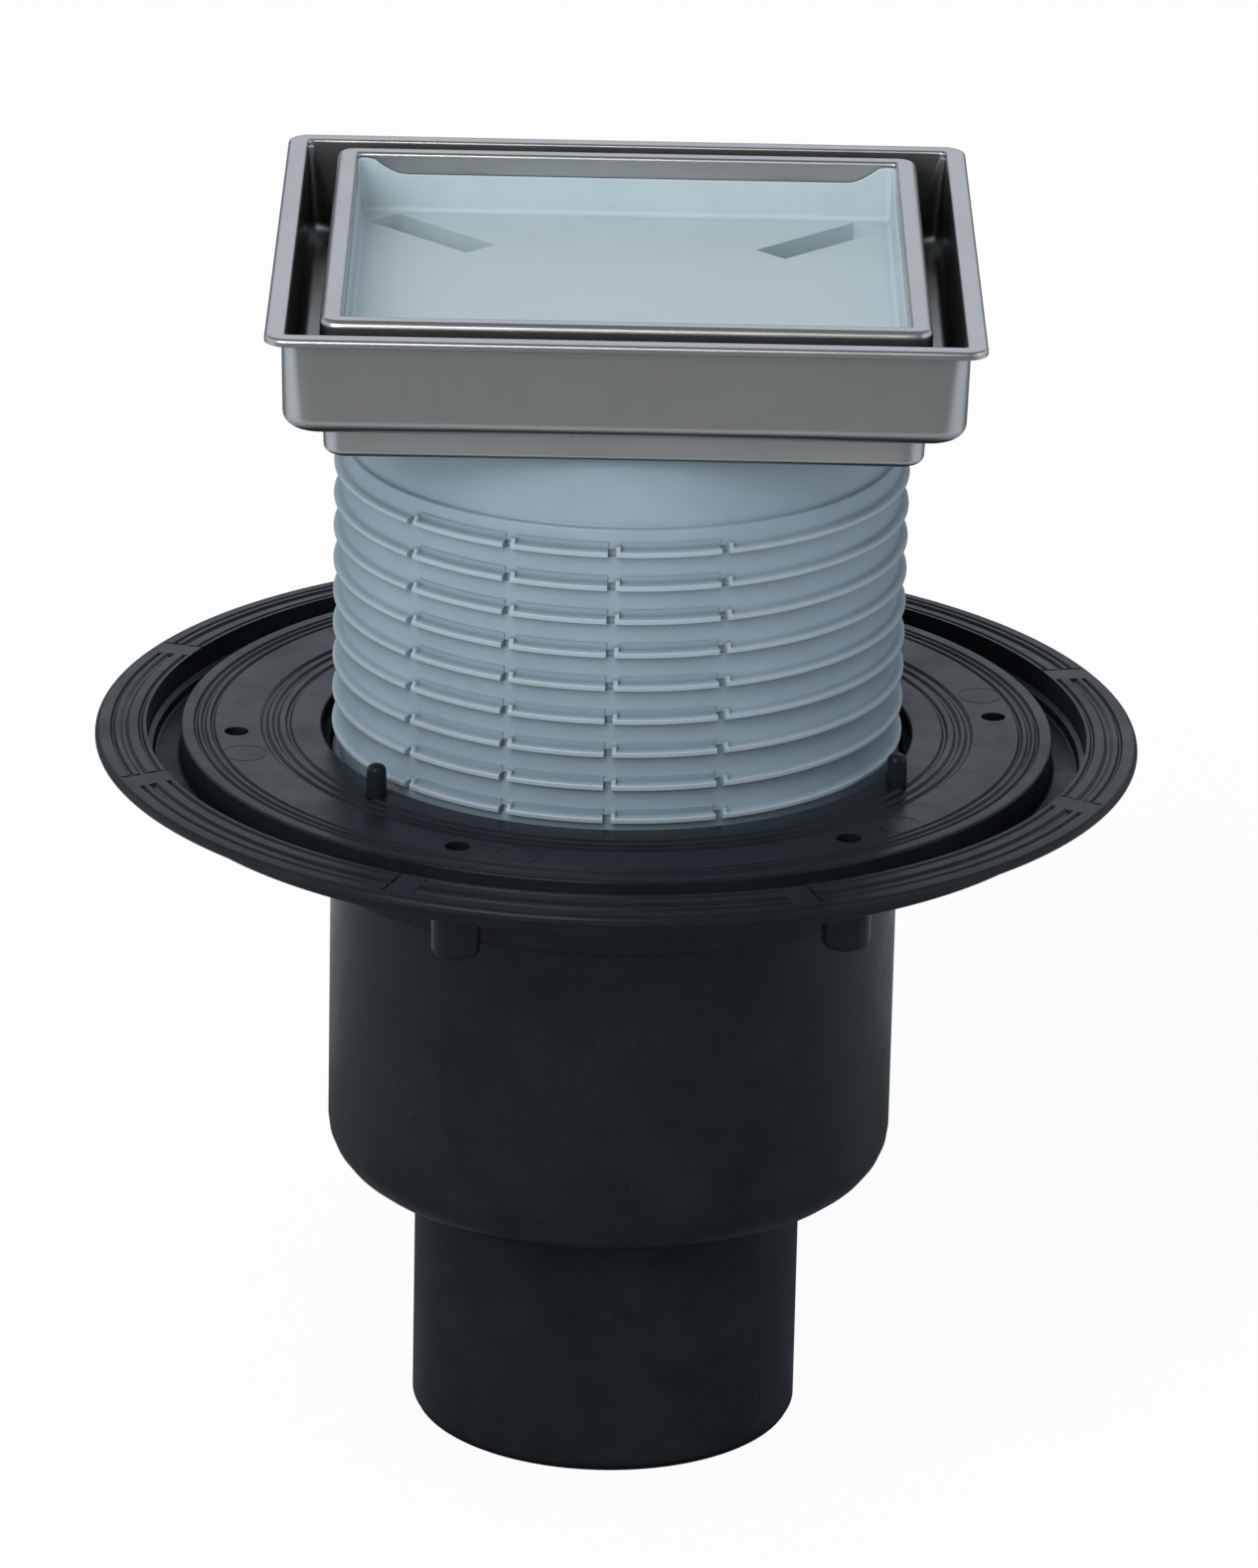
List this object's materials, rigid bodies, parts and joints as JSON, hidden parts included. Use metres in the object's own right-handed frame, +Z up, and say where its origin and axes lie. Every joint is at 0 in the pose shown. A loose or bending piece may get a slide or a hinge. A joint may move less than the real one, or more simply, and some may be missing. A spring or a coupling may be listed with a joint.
{
  "type": "floor drain",
  "caption": "Floor drain with vertical spigot, flanged pot, ribbed height collar, square steel frame and a recessed tray for a floor tile.",
  "frame": {"origin": "centre of the outlet spigot's lower end, the lowest point of the part", "axes": "+Z up; the frame's sides run along X and Y; the front faces -Y"},
  "size_m": [0.1998, 0.1998, 0.238],
  "materials": {
    "black_plastic": "satin, moulded",
    "black_rubber": "matt",
    "grey_plastic": "satin, moulded, blue-grey",
    "stainless": "drawn sheet, satin to bright",
    "insert_plastic": "satin, moulded, pale blue-grey",
    "white_plastic": "satin, moulded",
    "steel_screw": "bright"
  },
  "bodies": {
    "drain": {"drain_body": "black_plastic", "trap_standpipe": "white_plastic", "standpipe_seal": "black_rubber", "trap_bell": "white_plastic"},
    "seal": {"lip_seal": "black_rubber"},
    "collar": {"extension_collar": "grey_plastic", "frame_gasket": "black_rubber", "steel_frame": "stainless", "frame_clamp_ring": "insert_plastic", "clamp_ring_screws": "steel_screw", "hair_strainer": "insert_plastic", "tray_rim": "stainless", "tray_insert": "insert_plastic"}
  },
  "joints": [
    {"name": "collar_turn", "type": "hinge", "parent": "drain", "child": "seal", "pos_m": [0, 0, 0.13], "axis": [0, 0, 1], "continuous": true},
    {"name": "collar_height", "type": "slide", "parent": "seal", "child": "collar", "axis": [0, 0, 1], "range_m": [0, 0.01]}
  ]
}
